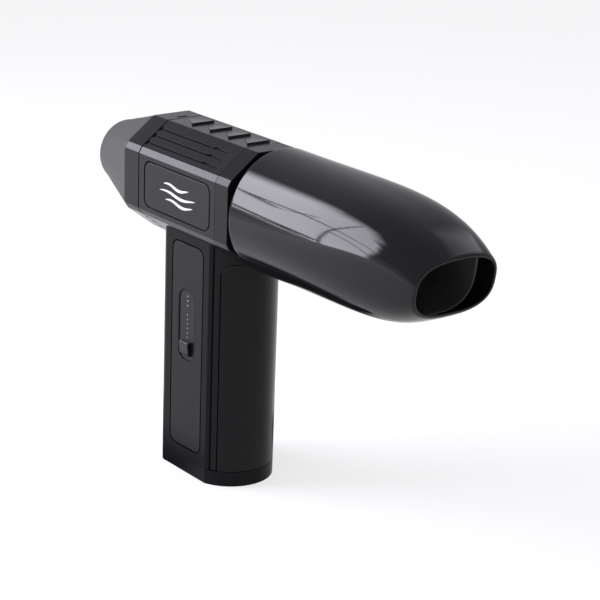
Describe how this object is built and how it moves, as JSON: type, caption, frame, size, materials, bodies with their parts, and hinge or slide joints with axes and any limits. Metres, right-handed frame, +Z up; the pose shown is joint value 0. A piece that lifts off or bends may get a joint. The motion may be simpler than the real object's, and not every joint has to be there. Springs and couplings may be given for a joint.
{
  "type": "car dryer blower",
  "caption": "Cordless hand-held jet blower with an octagonal fan head, a slip-on flat-mouthed nozzle and a battery handle with a thumb slider.",
  "frame": {"origin": "centre of the flat bottom face of the handle, on which the blower stands", "axes": "+X along the fan axis, the way the air leaves; +Z up; the speed slider is on the -Y side"},
  "size_m": [0.2837, 0.0668, 0.1914],
  "materials": {
    "satin_black": "satin, fine spark-eroded grain",
    "panel_black": "satin",
    "gloss_black": "high gloss, injection moulded",
    "cap_grey": "satin grey, very fine mesh",
    "duct_black": "plain moulded",
    "filter_foam": "open mesh",
    "impeller_alloy": "machined",
    "motor_steel": "ground",
    "magnet": "nickel plated",
    "copper": "enamelled winding",
    "cell_wrap": "shrink sleeve",
    "white_plastic": "plain moulded",
    "circuit_board": "solder mask",
    "chip_black": "moulded epoxy",
    "nickel": "rolled",
    "wire_red": "silicone sleeve",
    "wire_yellow": "silicone sleeve",
    "grip_black": "smooth satin",
    "knob_black": "satin"
  },
  "bodies": {
    "main_body": {"intake_cap": "cap_grey", "intake_grille": "satin_black", "filter_frame": "duct_black", "intake_filter": "filter_foam", "rear_ring": "satin_black", "head_shell_left": "satin_black", "head_shell_right": "satin_black", "side_panel_left": "panel_black", "side_panel_right": "panel_black", "top_strip": "satin_black", "front_ring": "satin_black", "outlet_collar": "duct_black", "inlet_bell": "duct_black", "fan_duct": "duct_black", "stator_housing": "duct_black", "stator_core": "motor_steel", "motor_coils": "copper", "rear_bearing": "motor_steel", "front_bearing": "motor_steel", "motor_end_plate": "impeller_alloy", "tail_cone": "duct_black", "handle_frame": "satin_black", "grip_front": "grip_black", "switch_panel": "panel_black", "blank_panel": "panel_black", "bottom_cap": "satin_black", "strip_retainer": "white_plastic", "slide_pot": "nickel", "control_board": "circuit_board", "board_chips": "chip_black", "bulk_capacitor": "chip_black", "battery_cells": "cell_wrap", "cell_holder_lower": "white_plastic", "cell_holder_upper": "white_plastic", "nickel_strips": "nickel", "charge_board": "circuit_board", "usb_port": "nickel", "battery_leads": "wire_red", "motor_leads": "wire_yellow", "neck_screws": "motor_steel", "bottom_screws": "motor_steel"},
    "fan_rotor": {"spinner": "impeller_alloy", "impeller": "impeller_alloy", "motor_shaft": "motor_steel", "rotor_magnet": "magnet"},
    "nozzle": {"nozzle_shell": "gloss_black", "nozzle_socket": "gloss_black", "nozzle_liner": "duct_black"},
    "speed_slider": {"slider_strip": "panel_black", "slider_knob": "knob_black", "slider_carriage": "white_plastic", "pot_wiper": "nickel"}
  },
  "joints": [
    {"name": "fan_spin", "type": "hinge", "parent": "main_body", "child": "fan_rotor", "pos_m": [-0.004, 0, 0.158], "axis": [1, 0, 0], "continuous": true},
    {"name": "nozzle_pull", "type": "slide", "parent": "main_body", "child": "nozzle", "axis": [1, 0, 0], "range_m": [0, 0.02]},
    {"name": "speed_slide", "type": "slide", "parent": "main_body", "child": "speed_slider", "axis": [0, 0, 1], "range_m": [0, 0.024]}
  ]
}
